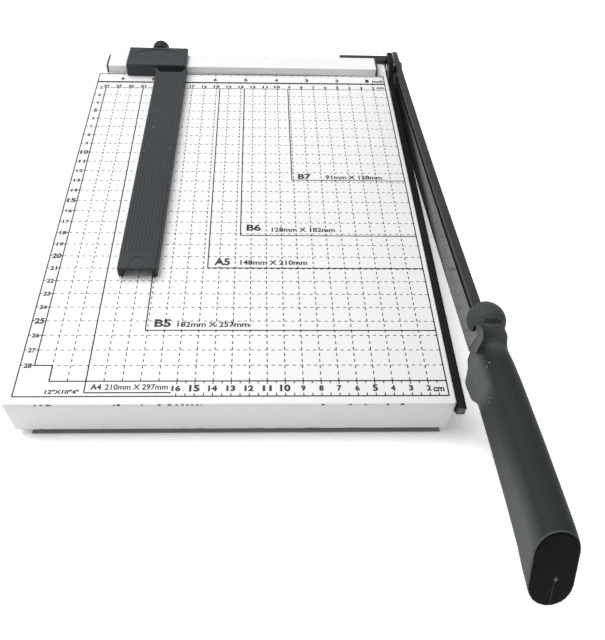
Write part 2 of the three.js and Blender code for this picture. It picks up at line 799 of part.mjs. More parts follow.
function gripBody() {
  const rings = [
    gripRing(ballAt + neckRadius / 2, ballHeight, neckHeight, neckRadius * neckStart, ballCentre),
    gripRing(neckAt, neckHeight, neckHeight - neckRadius / 4, neckRadius),
  ];
  gripLengthShares.forEach((share, i) => {
    const along = neckAt + share * (endAt - neckAt);
    const radius = gripRadius * gripWidthShares[i];
    rings.push(gripRing(along, gripTop * gripTopShares[i], -gripLow * gripLowShares[i], radius));
  });
  rings.push(gripRing(endAt + 2 * gripRadius, gripTop * tailTopShare, -gripLow * tailLowShare, gripRadius));
  return loft(rings);
}

// The guard under the neck, with softened edges. The outline is in shares of its length and drop
const skirtShares = [
  [0, -0.22], [0, 0.52], [0.1, 0.6], [0.17, 1], [0.3, 0.98], [0.6, 0.9],
  [0.76, 0.68], [0.84, 0.45], [0.8, 0.15], [0.45, 0], [0.08, -0.22],
];

function gripSkirt() {
  const outline = skirtShares.map(([along, down]) => [-skirtFront - along * skirtLength, -down * skirtDrop]);
  const middle = -skirtFront - skirtLength / 2;
  const height = -skirtDrop / 2;
  const inner = outline.map(([u, v]) => new THREE.Vector2(
    u + Math.sign(middle - u) * skirtRound,
    v + Math.sign(height - v) * skirtRound,
  ));
  const width = gripRadius + neckRadius - 2 * skirtRound;
  const geometry = new THREE.ExtrudeGeometry(new THREE.Shape(inner), {
    depth: width,
    bevelEnabled: true,
    bevelSize: skirtRound,
    bevelThickness: skirtRound,
    bevelSegments: bevelSteps,
  });
  const [u, v, w] = alongAxis.x;
  const place = new THREE.Matrix4().makeBasis(u, v, w);
  place.setPosition(gripCentre - gripRadius + skirtRound, 0, 0);
  geometry.applyMatrix4(place);
  return solid(geometry);
}

function handle() {
  const slant = THREE.MathUtils.degToRad(endSlant);
  const reach = 5 * gripRadius;
  const [alongS, alongZ] = [Math.sin(slant) * reach, Math.cos(slant) * reach];
  const side = gripCentre + 2 * gripRadius;
  const endCut = prism('x', [
    [-endAt + alongS, alongZ],
    [-endAt - alongS, -alongZ],
    [-endAt - alongS - 2 * reach, -alongZ],
    [-endAt - alongS - 2 * reach, alongZ],
  ], gripCentre - 2 * gripRadius, side);
  // Slots for the flange, the blade, the web and the tang
  const slotFlange = prism(
    'x', armBand(bladeStart, flangeEnd + fit, -fit, flangeThick + fit), flangeLeft - fit, flangeRight + fit,
  );
  const slotBlade = prism(
    'x', armBand(bladeStart, bladeEnd + 2 * bladeLean, flangeThick, bladeDepth + fit),
    bladeLeft - fit, bladeLeft + bladeWidth + fit,
  ).subtract(pastBlade(fit));
  const openSide = prism(
    'x', armBand(ballAt + ballRadius, bladeEnd + 2 * bladeLean, flangeThick, bladeDepth + fit),
    bladeLeft - overrun, bladeLeft,
  ).subtract(pastBlade(fit));
  const slotWeb = prism(
    'x', armBand(bladeStart, flangeEnd + fit, flangeThick, webDepth + fit), webLeft - fit, webRight + fit,
  );
  const slotTang = prism('x', tangOutline(2 * fit), webLeft - fit, webRight + fit);
  const screwSeat = gripCentre + gripRadius - 2 * panHeight;
  const screwHigh = gripScrewZ;
  const screwRoom = rod('x', -gripScrewAt, screwHigh, panRadius + fit, screwSeat, side);
  const screwBore = rod('x', -gripScrewAt, screwHigh, shankRadius + fit, webLeft / 2, screwSeat + overrun);
  return cut(joined([gripBall(), gripBody(), gripSkirt()]), [
    endCut, slotFlange, slotBlade, openSide, slotWeb, slotTang, screwRoom, screwBore,
  ]);
}

// The pivot's fixed hardware, on the bolt's axis
function pivotRing(radius, from, to) {
  const ring = rod('x', pivotY, pivotZ, radius, from, to);
  return ring.subtract(rod('x', pivotY, pivotZ, boltRadius + fit, from - overrun, to + overrun));
}

function pivotBolt() {
  const seat = earRight + 2 * fit + washerWidth;
  return turned('x', pivotY, pivotZ, [
    [0, knifeLeft],
    [boltRadius, knifeLeft],
    [boltRadius, seat],
    ...boltShares.map(([wide, high]) => [boltHeadRadius * wide, seat + boltHeadHeight * high]),
    [0, seat + boltHeadHeight],
  ]);
}

// The fixed body
const fixed = new THREE.Group();
fixed.add(part('base_tray', baseTray(), whitePaint));
footPlaces.forEach(([place, x, y]) => {
  fixed.add(part(`foot_${place}`, foot(x, y), rubber));
  const seat = boardBase - footHeight + footRecess;
  const length = footHeight - footRecess + 3 * sheet;
  fixed.add(panScrew(`foot_screw_${place}`, 'z', x, y, seat - fit, length, -1, zincSteel));
});
fixed.add(part('fixed_blade', fixedBlade(), blackPaint));
knifeScrewYs.forEach((y, i) => {
  const seat = boardRight - sheet - fit;
  const length = sheet + 2 * fit + knifeWidth - sheet - fit;
  fixed.add(panScrew(`fixed_blade_screw_${i + 1}`, 'x', y, knifeScrewZ, seat, length, -1, zincSteel));
});
fixed.add(part('pivot_bracket', pivotBracket(), blackPaint));
bracketScrewXs.forEach((x, i) => {
  const seat = boardBack + 2 * fit + bracketSheet;
  const length = bracketSheet + 2 * fit + 2 * sheet;
  fixed.add(panScrew(`bracket_screw_${i + 1}`, 'y', x, bracketScrewZ, seat, length, 1, zincSteel));
});
fixed.add(part('fence_rail', fenceRail(), whitePaint));
fixed.add(part('fence_cap_left', fenceCap(-fenceLeft - fit, -1), blackPlastic));
fixed.add(part('fence_cap_right', fenceCap(-fenceRight + fit, 1), blackPlastic));
fenceScrewXs.forEach((x, i) => {
  const length = sheet + 2 * fit + fenceHeight - 3 * fenceSheet;
  fixed.add(panScrew(`fence_screw_${i + 1}`, 'z', x, fenceMiddle, -sheet - fit, length, -1, zincSteel));
});
fixed.add(part('pivot_spacer', pivotRing(spacerRadius, lugRight + fit, earLeft - fit), zincSteel));
const washerLeft = earRight + fit;
fixed.add(part('pivot_washer', pivotRing(washerRadius, washerLeft, washerLeft + washerWidth), zincSteel));
fixed.add(part('pivot_bolt', pivotBolt(), zincSteel));

// The gauge and its clamp
const gauge = new THREE.Group();
gauge.add(part('gauge_body', gaugeBody(), blackPlastic));
gauge.add(part('clamp_insert', clampInsert(), brass));
gauge.add(part('clamp_pad', rod('y', headMiddle, clampZ, padRadius, padSeat, padBack), brass));
const threadEnd = knobFront + knobNeck + screwTail;
gauge.add(part('clamp_screw', rod('y', headMiddle, clampZ, screwRadius, screwTip, threadEnd), zincSteel));
gauge.add(part('clamp_knob', clampKnob(), blackPlastic));

// The blade arm turns about the pivot bolt
const arm = new THREE.Group();
arm.add(part('arm_spine', armSpine(), blackPaint));
arm.add(part('moving_blade', movingBlade(), bladeSteel));
rivetPlaces.forEach((along, i) => arm.add(part(`blade_rivet_${i + 1}`, bladeRivet(along), zincSteel)));
arm.add(part('handle_grip', handle(), gripPlastic));
const gripSeat = gripCentre + gripRadius - 2 * panHeight + fit;
const gripScrewLength = gripSeat - webLeft / 2 - fit;
arm.add(panScrew('handle_screw', 'x', -gripScrewAt, gripScrewZ, gripSeat, gripScrewLength, 1, zincSteel));
// The gauge hangs a little out of square, about the middle of its head
const hang = new THREE.Vector3(headMiddle, fenceMiddle, 0);
gauge.rotation.z = -THREE.MathUtils.degToRad(gaugeSkew);
gauge.position.copy(hang).sub(hang.clone().applyEuler(gauge.rotation));
arm.position.set(0, pivotY, pivotZ);
arm.rotation.x = -THREE.MathUtils.degToRad(restLift);

// The whole cutter stands on its feet, centred on the origin
const group = new THREE.Group();
group.add(fixed, gauge, arm);
group.updateMatrixWorld(true);
const size = new THREE.Box3().setFromObject(group, true);
group.position.set(-(size.min.x + size.max.x) / 2, -(size.min.y + size.max.y) / 2, -size.min.z);
group.updateMatrixWorld(true);

export default group;
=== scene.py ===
# %% [markdown]
# # A guillotine paper cutter, dressed in Blender
# The solids come from the CAD frame and are already the right size and in the right place. This
# script gives them their paint, plastic, steel and rubber, prints the scale on the board, and
# lights and films the cutter on a pale table. Every length is in metres, and MM is a millimetre.

import math

import bpy
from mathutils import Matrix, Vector


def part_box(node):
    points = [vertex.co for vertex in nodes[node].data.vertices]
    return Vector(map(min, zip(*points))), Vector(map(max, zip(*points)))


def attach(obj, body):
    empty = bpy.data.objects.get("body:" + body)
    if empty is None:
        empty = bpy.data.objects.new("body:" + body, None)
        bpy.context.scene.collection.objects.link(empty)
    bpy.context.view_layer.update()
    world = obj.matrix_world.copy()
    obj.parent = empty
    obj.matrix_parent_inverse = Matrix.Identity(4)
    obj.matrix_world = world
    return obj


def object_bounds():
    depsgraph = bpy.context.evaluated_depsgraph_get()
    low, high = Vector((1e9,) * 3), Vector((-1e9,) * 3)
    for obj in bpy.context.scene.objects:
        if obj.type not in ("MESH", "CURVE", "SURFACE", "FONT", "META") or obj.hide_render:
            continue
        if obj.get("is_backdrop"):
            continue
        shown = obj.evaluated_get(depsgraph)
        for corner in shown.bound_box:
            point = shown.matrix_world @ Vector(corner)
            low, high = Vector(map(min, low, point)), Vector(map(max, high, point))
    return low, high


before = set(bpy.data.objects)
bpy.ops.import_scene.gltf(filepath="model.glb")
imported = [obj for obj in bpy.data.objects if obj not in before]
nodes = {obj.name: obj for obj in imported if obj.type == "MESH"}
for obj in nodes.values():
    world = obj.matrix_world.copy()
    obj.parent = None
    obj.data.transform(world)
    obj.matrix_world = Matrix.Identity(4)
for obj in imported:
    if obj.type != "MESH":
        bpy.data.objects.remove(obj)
cad_low, cad_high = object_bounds()
MM = 0.001
measures = [round(size / MM, 1) for size in cad_high - cad_low]
print("the frame has", len(nodes), "solids and measures", measures, "mm")

# %% [markdown]
# Everything on the board is measured from two lines that the user lines paper up with: the cutting
# line, just to the right of the fixed blade, and the front face of the fence. So one helper turns
# "so far left of the cut, so far in front of the fence" into a point. Nothing on the cutter is
# placed by a raw coordinate of the frame.

# %% Places on the board
SHEAR_SIDE = 0.9 * MM          # from the fixed blade's face to the cutting line
cut_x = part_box("fixed_blade")[1].x + SHEAR_SIDE
fence_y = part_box("fence_rail")[0].y
board_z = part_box("base_tray")[1].z
board_low, board_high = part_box("base_tray")


def on_board(left, front, up=0.0):
    """The point so many metres left of the cutting line, in front of the fence and above the board."""
    return Vector((cut_x - left, fence_y - front, board_z + up))


print("the cutting line is at x", round(cut_x / MM, 2), "mm and the fence at y", round(fence_y / MM, 2), "mm")

# %% [markdown]
# ## Writing materials as arithmetic
# A node tree is a formula drawn as boxes. It is easier to read as a formula, so a small class wraps
# one output socket and gives it plus, minus, times and so on. Each operator adds one Math node.
# Everything else (noise, ramps, bump) comes from one method that takes the node's type, its
# settings and its inputs.

# %% A socket with arithmetic
class Value:
    """One number that varies over a surface."""

    def __init__(self, finish, socket):
        self.finish, self.socket = finish, socket

    def math(self, operation, *others):
        """One Math node."""
        return self.finish.node("ShaderNodeMath", {"operation": operation}, dict(enumerate((self, *others))))

    def __add__(self, other):
        return self.math("ADD", other)

    def __sub__(self, other):
        return self.math("SUBTRACT", other)

    def __rsub__(self, other):
        return self.finish.number(other).math("SUBTRACT", self)

    def __mul__(self, other):
        return self.math("MULTIPLY", other)

    def __abs__(self):
        return self.math("ABSOLUTE")

    __radd__ = __add__
    __rmul__ = __mul__

    def most(self, other):
        """The larger of the two."""
        return self.math("MAXIMUM", other)

    def fade(self, start, end):
        """Goes smoothly from 0 at start to 1 at end. start may be the larger."""
        low, high, flip = (start, end, False) if start < end else (end, start, True)
        ramp = self.finish.node(
            "ShaderNodeMapRange",
            {"interpolation_type": "SMOOTHSTEP"},
            {"Value": self, "From Min": low, "From Max": high},
        )
        return 1 - ramp if flip else ramp

# %% A formula, and a finish: one material and its helpers
class Formula:
    """A node tree under construction."""

    def __init__(self, tree):
        self.tree = tree
        self.tree.nodes.clear()

    def node(self, kind, settings=None, inputs=None, output=0):
        """Adds one node and returns one of its outputs. A node that ends a tree has none."""
        made = self.tree.nodes.new(kind)
        for key, setting in (settings or {}).items():
            setattr(made, key, setting)
        for key, given in (inputs or {}).items():
            if isinstance(given, Value):
                self.tree.links.new(given.socket, made.inputs[key])
            else:
                made.inputs[key].default_value = given
        return Value(self, made.outputs[output]) if made.outputs else None

    def number(self, value):
        """A plain number as a Value."""
        return self.node("ShaderNodeMath", inputs={0: float(value), 1: 0.0})

    def vector(self, operation, *given, output="Vector"):
        """One Vector Math node."""
        return self.node("ShaderNodeVectorMath", {"operation": operation}, dict(enumerate(given)), output)

    def seen(self, *kinds):
        """1 for rays of those kinds, such as Camera or Glossy, and 0 for all others."""
        first, *others = (self.node("ShaderNodeLightPath", output=f"Is {kind} Ray") for kind in kinds)
        for other in others:
            first = first.most(other)
        return first


class Finish(Formula):
    """A material under construction, with the helpers that its formula is written in."""

    def __init__(self, name):
        self.material = bpy.data.materials.new(name)
        self.material.use_nodes = True
        super().__init__(self.material.node_tree)
        self.place = self.node("ShaderNodeTexCoord", output="Object")

    def along(self, axis):
        """The distance along X, Y or Z of the object's own frame, in metres."""
        return self.node("ShaderNodeSeparateXYZ", inputs={"Vector": self.place}, output=axis)

    def noise(self, size, detail=2.0, roughness=0.5, stretch=(1, 1, 1)):
        """Cloudy noise from 0 to 1 whose patches are about size metres across."""
        scaled = self.vector("MULTIPLY", self.place, tuple(1 / (size * s) for s in stretch))
        return self.node(
            "ShaderNodeTexNoise",
            inputs={"Vector": scaled, "Scale": 1.0, "Detail": detail, "Roughness": roughness},
        )

    def specks(self, size, share):
        """1 inside small round specks, one for about each cell of that size, and 0 elsewhere."""
        scaled = self.vector("MULTIPLY", self.place, (1 / size,) * 3)
        cells = self.node("ShaderNodeTexVoronoi", inputs={"Vector": scaled, "Scale": 1.0})
        return cells.fade(share, share * 0.6)

    def spots(self, spots, ragged=0.0):
        """1 inside the spots. Each is a point, its radius and how many times longer it is along X."""
        found = None
        for point, radius, long in spots:
            away = self.vector("SUBTRACT", self.place, tuple(point))
            squeezed = self.vector("MULTIPLY", away, (1 / long, 1, 1))
            far = self.vector("LENGTH", squeezed, output="Value")
            inside = (far + ragged).fade(radius * 1.15, radius * 0.85)
            found = inside if found is None else found.most(inside)
        return found

    def mix(self, amount, first, second):
        """first where amount is 0 and second where it is 1. Both are colours."""
        return self.node("ShaderNodeMix", {"data_type": "RGBA"}, {0: amount, 6: first, 7: second}, output=2)

    def bump(self, height, depth):
        """A normal that follows height, which is depth metres from its lowest to its highest."""
        return self.node("ShaderNodeBump", inputs={"Height": height, "Distance": depth, "Strength": 1.0})

    def shade(self, colour, roughness, normal, metallic=0.0, specular=0.5):
        """Ends the material. What varies is linked, and what is the same all over is set on the shader."""
        return self.end(self.node("ShaderNodeBsdfPrincipled", inputs={
            "Base Color": colour, "Roughness": roughness, "Normal": normal,
            "Metallic": metallic, "Specular IOR Level": specular,
        }))

    def end(self, surface):
        """Joins the surface to the material's output."""
        self.node("ShaderNodeOutputMaterial", inputs={"Surface": surface})
        return self.material

# %% Helpers for colours and pieces
def grey(level, blue=0.0):
    """A grey of that linear level, a little bluer or, where blue is negative, a little warmer."""
    return (level * (1 - blue), level, level * (1 + blue), 1.0)


def dressed(names, material):
    """Gives the CAD solids of those names this material."""
    for name in names:
        mesh = nodes[name].data
        mesh.materials.clear()
        mesh.materials.append(material)
    print(material.name, "on", len(names), "solids")


def placed(name, data):
    """A new object in the scene, made of a mesh, a text, a lamp or a camera."""
    made = bpy.data.objects.new(name, data)
    bpy.context.scene.collection.objects.link(made)
    return made


def made_mesh(name, corners, faces, material):
    """A new piece of those corners and faces."""
    mesh = bpy.data.meshes.new(name)
    mesh.from_pydata(corners, [], faces)
    mesh.materials.append(material)
    return placed(name, mesh)

# %% [markdown]
# ## Soft edges
# Pressed and moulded parts have no knife-sharp corners, and it is the thin bright line along a
# rounded edge that makes a render look real. The CAD edges are sharp, so each solid gets
# modifiers: weld its split corners, dissolve the flat triangles into whole faces, then bevel what
# is still an edge. No vertex of the mesh itself is moved.

# %% Round the edges of the solids
SHARP = math.radians(28)       # an edge that turns more than this is a real edge
FLAT = math.radians(0.3)       # faces that turn less than this are one face
NEAR = 0.002 * MM              # corners nearer than this are one corner
STORED_SHADING = ("custom_normal", "sharp_edge", "sharp_face")


def welded(name):
    """A CAD solid with smooth shading and a modifier that joins its split corners."""
    piece = nodes[name]
    attributes = piece.data.attributes
    for stored in [a.name for a in attributes if a.name in STORED_SHADING]:
        attributes.remove(attributes[stored])
    for face in piece.data.polygons:
        face.use_smooth = True
    piece.modifiers.new("weld", "WELD").merge_threshold = NEAR
    return piece


def soften(name, width):
    """Rounds the sharp edges of a CAD solid by width metres. With no width they stay sharp."""
    piece = welded(name)
    flat = piece.modifiers.new("flat", "DECIMATE")
    flat.decimate_type, flat.angle_limit = "DISSOLVE", FLAT
    if width:
        bevel = piece.modifiers.new("edge", "BEVEL")
        bevel.width, bevel.segments = width, 2
        bevel.limit_method, bevel.angle_limit = "ANGLE", SHARP
        bevel.harden_normals, bevel.miter_outer = True, "MITER_ARC"
    else:
        piece.modifiers.new("crease", "EDGE_SPLIT").split_angle = SHARP


USUAL_EDGE = 0.12 * MM         # width of a rounded edge. Below, 0 keeps the edges sharp
edge_width = {
    "fixed_blade": 0.25 * MM, "pivot_bracket": 0.35 * MM, "arm_spine": 0.35 * MM, "moving_blade": 0.0,
    "clamp_knob": 0.0, "base_tray": 0.0, "fence_rail": 0.0,
    "fence_cap_left": 0.2 * MM, "fence_cap_right": 0.2 * MM,
}
softened = [name for name in nodes if name != "handle_grip"]
for name in softened:
    soften(name, edge_width.get(name, USUAL_EDGE))
print("softened", len(softened), "solids")

# %% [markdown]
# The handle is soft plastic, and its ball, neck and finger guard melt into each other. It is
# rebuilt as one even skin, and the skin is then blurred: fully at the ball, and just enough to
# hide the steps of the rebuilt skin along the grip.

# %% Melt the handle's forms together
SKIN_CELL = 0.4 * MM
SKIN_PASSES = 24               # times that the skin is blurred
GRIP_SHARE = 0.12              # how much of each pass the grip gets
GRIP_FROM, BALL_TO = 310 * MM, 296 * MM      # in front of the fence: the blur fades in between them


def melt(name, cell, passes):
    """Rebuilds a solid from cells and blurs its skin, fully at the ball and a little at the grip."""
    piece = welded(name)
    skin = piece.modifiers.new("skin", "REMESH")
    skin.mode, skin.voxel_size, skin.use_smooth_shade = "VOXEL", cell, True
    tree = bpy.data.node_groups.new("blurred_skin", "GeometryNodeTree")
    for way in ("INPUT", "OUTPUT"):
        tree.interface.new_socket("Geometry", in_out=way, socket_type="NodeSocketGeometry")
    blur = Formula(tree)
    place = blur.node("GeometryNodeInputPosition")
    y = blur.node("ShaderNodeSeparateXYZ", inputs={"Vector": place}, output="Y")
    weight = GRIP_SHARE + y.fade(fence_y - GRIP_FROM, fence_y - BALL_TO) * (1 - GRIP_SHARE)
    blurred = blur.node(
        "GeometryNodeBlurAttribute", {"data_type": "FLOAT_VECTOR"},
        {"Value": place, "Iterations": passes, "Weight": weight},
    )
    solid = blur.node("NodeGroupInput")
    skinned = blur.node("GeometryNodeSetPosition", inputs={"Geometry": solid, "Position": blurred})
    blur.node("NodeGroupOutput", inputs={0: skinned})
    piece.modifiers.new("blur", "NODES").node_group = tree


melt("handle_grip", SKIN_CELL, SKIN_PASSES)
print("melted handle_grip, with cells of", SKIN_CELL / MM, "mm")

# %% [markdown]
# ## White paint
# The board and the fence are baked white enamel: almost white, half glossy, with the faint orange
# peel of sprayed paint. Handling has chipped it along the front bend, where it is thinnest, and
# dirt lies in a broken line along the foot of the front wall. A painted picture would blur up
# close, so each chip is a small ragged spot in the formula, at a place along that bend.

# %% White enamel
BEND = 1.5 * MM                # radius of the board's front bend
CHIPS = (                      # place along the bend from the cutting line, radius and stretch
    (234.1, 0.4, 1.5), (231.0, 0.35, 2.0), (227.2, 0.45, 3.0), (192.2, 0.4, 1.5), (189.8, 0.5, 2.5),
    (177.3, 0.35, 2.0), (168.0, 0.45, 2.2), (162.5, 0.45, 2.0), (158.6, 0.4, 1.5), (155.4, 0.45, 1.3),
    (152.9, 0.4, 1.5), (150.2, 0.45, 1.2), (147.6, 0.4, 1.6), (145.2, 0.35, 1.2), (79.3, 0.45, 2.0),
    (64.5, 0.4, 1.8), (56.2, 0.35, 1.6), (43.6, 0.45, 2.0), (35.8, 0.5, 2.4), (6.4, 0.5, 1.0),
)
FENCE_SPECKS = ((160.7, 14.5), (125.1, 17.0), (109.7, 14.5))   # left of the cut, behind the fence's face


def bend_point(left):
    """The middle of the front bend's round, so far left of the cutting line."""
    inset = BEND * (1 - math.sqrt(0.5))
    return (cut_x - left, board_low.y + inset, board_z - inset)


def white_enamel():
    """Baked white paint, with its chips, specks and grime."""
    paint = Finish("white_enamel")
    clouds = paint.noise(60 * MM, detail=3.0)
    peel = paint.noise(1.6 * MM, detail=1.0)
    torn = paint.noise(0.7 * MM, detail=3.0, roughness=0.65)
    bend_spots = [(bend_point(left * MM), size * MM, long) for left, size, long in CHIPS]
    chips = paint.spots(bend_spots, (torn - 0.5) * 1.2 * MM)
    fence_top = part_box("fence_rail")[1].z
    specks = paint.spots([
        ((cut_x - left * MM, fence_y + back * MM, fence_top), 0.35 * MM, 1.2) for left, back in FENCE_SPECKS
    ])
    y, z = paint.along("Y"), paint.along("Z")
    foot = (z - board_low.z).fade(1.3 * MM, 0.5 * MM) * (y - board_low.y).fade(0.4 * MM, 0.1 * MM)
    grime = foot * paint.noise(9 * MM, detail=4.0, roughness=0.7).fade(0.50, 0.62)
    clean = paint.mix(clouds.fade(0.3, 0.75), grey(0.93, 0.004), grey(0.95, 0.0))
    dirty = paint.mix(grime * 0.6, clean, grey(0.30, -0.04))
    colour = paint.mix(chips.most(specks), dirty, grey(0.07))
    roughness = 0.30 + clouds * 0.10 + chips * 0.3
    return paint.shade(colour, roughness, paint.bump(peel - chips * 3.0, 0.006 * MM))


dressed(["base_tray", "fence_rail"], white_enamel())

# %% [markdown]
# ## Black paint
# The fixed blade, the arm and the pivot bracket are steel with a black coat. The fixed blade's is
# oiled and nearly black. The other two share a greyer enamel, paler where it is rubbed. Both coats
# are one formula with other numbers: two greys in clouds, rubbed stretches and a few chips.

# %% Black enamel on steel
def black_enamel(name, dark, light, rough, specular):
    """A black coat between two greys. rough is its roughness where it is smoothest."""
    paint = Finish(name)
    clouds = paint.noise(25 * MM, detail=3.0)
    peel = paint.noise(0.9 * MM, detail=2.0)
    paler_mask = paint.noise(6 * MM, detail=5.0, roughness=0.7, stretch=(1, 6, 1)).fade(0.62, 0.78)
    chips = paint.specks(9 * MM, 0.045)
    base = paint.mix(clouds, grey(dark, 0.05), grey(light, 0.03))
    worn = paint.mix(paler_mask * 0.5, base, grey(0.06, 0.02))
    colour = paint.mix(chips, worn, grey(0.35))
    roughness = rough + clouds * 0.12 + paler_mask * 0.12
    return paint.shade(colour, roughness, paint.bump(peel, 0.008 * MM), specular=specular)


dressed(["fixed_blade"], black_enamel("oiled_black", 0.003, 0.007, 0.30, 0.3))
dressed(["arm_spine", "pivot_bracket"], black_enamel("black_enamel", 0.024, 0.038, 0.38, 0.5))

# %% [markdown]
# ## Black plastics
# The gauge and the fence's caps are moulded in a black plastic with a faint grain, scuffs, dust
# and a few bits of lint. The gauge is palest at the fence, and the knob is darker. Both are one
# function with other greys.

# %% Black plastics
def plastic_grey(level, red=0.88, blue=0.97):
    """The faintly green grey of the handle."""
    return (level * red, level * 1.04, level * blue, 1.0)


def gauge_grey(level):
    """The bluer grey of the gauge and the knob."""
    return plastic_grey(level, 0.90, 1.12)


def moulded_plastic(name, dark, light, lint=()):
    """A satin plastic between two greys, palest at the fence, with lint at the given points."""
    plastic = Finish(name)
    clouds = plastic.noise(18 * MM, detail=3.0)
    mottled = plastic.noise(2.2 * MM, detail=5.0, roughness=0.7)
    grain = plastic.noise(0.5 * MM, detail=2.0, roughness=0.6)
    scuffs = plastic.noise(5 * MM, detail=6.0, roughness=0.75, stretch=(0.5, 3, 1)).fade(0.66, 0.82)
    dust = plastic.specks(14 * MM, 0.035)
    fence_end = (fence_y - plastic.along("Y")).fade(210 * MM, 0.0)
    base = plastic.mix(clouds * 0.4 + mottled * 0.2 + fence_end * 0.4, gauge_grey(dark), gauge_grey(light))
    scuffed = plastic.mix(scuffs * 0.25, base, gauge_grey(0.16))
    bright = dust.most(plastic.spots([(point, 0.4 * MM, 1.3) for point in lint])) if lint else dust
    colour = plastic.mix(bright * 0.8, scuffed, grey(0.45, -0.04))
    roughness = 0.42 + clouds * 0.10 + scuffs * 0.10
    return plastic.shade(colour, roughness, plastic.bump(grain, 0.012 * MM), specular=0.2)


GAUGE_TOP = 8.5 * MM           # top of the gauge's arm above the board
LINT = ((193.5, 81.3), (179.4, 105.1), (197.8, 108.7))       # left of the cut and in front of the fence
lint = [on_board(left * MM, front * MM, GAUGE_TOP) for left, front in LINT]
gauge_plastic = moulded_plastic("gauge_plastic", 0.030, 0.068, lint)
dressed(["gauge_body", "fence_cap_left", "fence_cap_right"], gauge_plastic)
dressed(["clamp_knob"], moulded_plastic("knob_plastic", 0.024, 0.046))

# %% [markdown]
# ## The handle's plastic
# The handle is a softer black plastic. Painted light lies on its left side and finger guard, on the
# ball and on the collar behind it, and a painted highlight along the top of the end's rim. Painted
# shade darkens a crease at the back of the ball and makes the end face nearly black, and a mould line
# crosses that face. Marks painted by hand would need an unwrapped skin, so each mark is a mask worked
# out from the place: how far in front of the fence, or how deep behind the end face.

# %% The handle's plastic
end_face = max((f for f in nodes["handle_grip"].data.polygons if f.normal.y < -0.7), key=lambda f: f.area)
end_normal, end_middle = end_face.normal.copy(), end_face.center.copy()
FLUFF = (                      # bits of fluff: left of the cut, in front of the fence, above the board
    (-4.0, 300.7, 35.3), (-2.6, 302.2, 34.2), (-2.1, 303.0, 33.7), (-0.3, 319.8, 33.4), (0.1, 321.1, 31.8),
)


def grip_plastic():
    """Satin plastic and dusty, with painted light on its left side, ball and collar, a painted highlight on
    the end's rim, and painted shade in the ball's crease and on the nearly black end face.
    """
    plastic = Finish("handle_plastic")
    x, y, z = (plastic.along(axis) for axis in "XYZ")
    depth = y * end_normal.y + z * end_normal.z - end_middle.dot(end_normal)
    # end is 1 on the end face, whose colour is painted nearly black: painted shade, as the face turns away
    # from the lamp
    end = depth.fade(-0.35 * MM, -0.15 * MM)
    clouds = plastic.noise(18 * MM, detail=3.0)
    mottled = plastic.noise(2.2 * MM, detail=5.0, roughness=0.7)
    fine = plastic.noise(0.7 * MM, detail=2.0, roughness=0.6)
    scuffs = plastic.noise(5 * MM, detail=6.0, roughness=0.75, stretch=(0.5, 3, 1)).fade(0.66, 0.82)
    dust = plastic.specks(11 * MM, 0.03)
    # side is 1 on the handle's left side, which is painted lighter: a painted reflection of the white board
    # and table beside it
    side = (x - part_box("handle_grip")[0].x).fade(7 * MM, 2.5 * MM)
    # rim is a band along the top edge of the end face, painted lighter as a painted highlight
    rim = depth.fade(-1.1 * MM, -0.5 * MM) * (z - end_middle.z).fade(2 * MM, 9 * MM) * (1 - end)
    reach = fence_y - y        # the ball, its collar, the finger guard and the heel follow along it
    # ball and collar: the ball and the neck behind it, painted lighter as painted light, the neck where the
    # ball's shade falls on it
    ball = reach.fade(296 * MM, 286 * MM)
    collar = reach.fade(281.5 * MM, 284 * MM) * reach.fade(300 * MM, 289 * MM)
    guard = reach.fade(322 * MM, 312 * MM)
    heel = depth.fade(-60 * MM, -8 * MM)
    worn = plastic.mix(clouds * 0.5 + mottled * 0.5, plastic_grey(0.028), plastic_grey(0.046))
    # painted light on the left side, strongest at the finger guard and near the end, and not on the ball
    side_painted_light = side * (0.10 + guard * 0.62 + heel * 0.38) * (1 - ball)
    # all that is painted lighter: painted light on the left side, the ball and the collar, and the rim's
    # painted highlight
    paler_mask = side_painted_light + ball * 0.24 + rim * 0.45 + collar * 0.25
    with_painted_light = plastic.mix(paler_mask, worn, plastic_grey(0.17, 0.95, 0.96))
    # painted shade: a dark spot in the crease at the back of the ball
    crease_shade_at = on_board(-7.0 * MM, 282.2 * MM, 46.0 * MM)
    crease = plastic.spots([(crease_shade_at, 1.6 * MM, 3.6)], (mottled - 0.5) * 3 * MM)
    with_crease_shade = plastic.mix(crease * 0.65, with_painted_light, plastic_grey(0.008))
    scuffed = plastic.mix(scuffs * 0.3, with_crease_shade, plastic_grey(0.16))
    bits = [(on_board(left * MM, front * MM, up * MM), 0.3 * MM, 1.4) for left, front, up in FLUFF]
    fluff = plastic.spots(bits, (mottled - 0.5) * 0.6 * MM)
    dusty = plastic.mix(dust.most(fluff) * 0.8, scuffed, grey(0.45, -0.04))
    # painted shade: the end face's nearly black colour
    smooth = plastic.mix(mottled, plastic_grey(0.001), plastic_grey(0.006))
    nick_at = on_board(-11.2 * MM, 401.2 * MM, 27.4 * MM)
    seam_at = on_board(-10.6 * MM, 0.0, 25.0 * MM)
    nick = (abs(x - nick_at.x) + abs(z - nick_at.z) * 0.7 + fine * 1.2 * MM).fade(1.9 * MM, 1.3 * MM)
    seam = abs(x - seam_at.x).fade(0.30 * MM, 0.10 * MM) * (z - seam_at.z).fade(0.5 * MM, -0.5 * MM)
    marked = plastic.mix(nick * 0.7 + seam * 0.25, smooth, plastic_grey(0.25))
    colour = plastic.mix(end, dusty, marked)
    roughness = 0.45 + clouds * 0.10 + scuffs * 0.10
    return plastic.shade(colour, roughness, plastic.bump(fine, 0.012 * MM), specular=0.05)


handle_plastic = grip_plastic()
dressed(["handle_grip"], handle_plastic)

# %% [markdown]
# Where the neck leaves the ball, a thin web of the same plastic closes over the end of the blade.
# It is too thin for the rebuilt skin of the handle, so it is a flat plate of its own that lies just
# off the blade's face and rides on the arm. It is listed by its corners at rest.

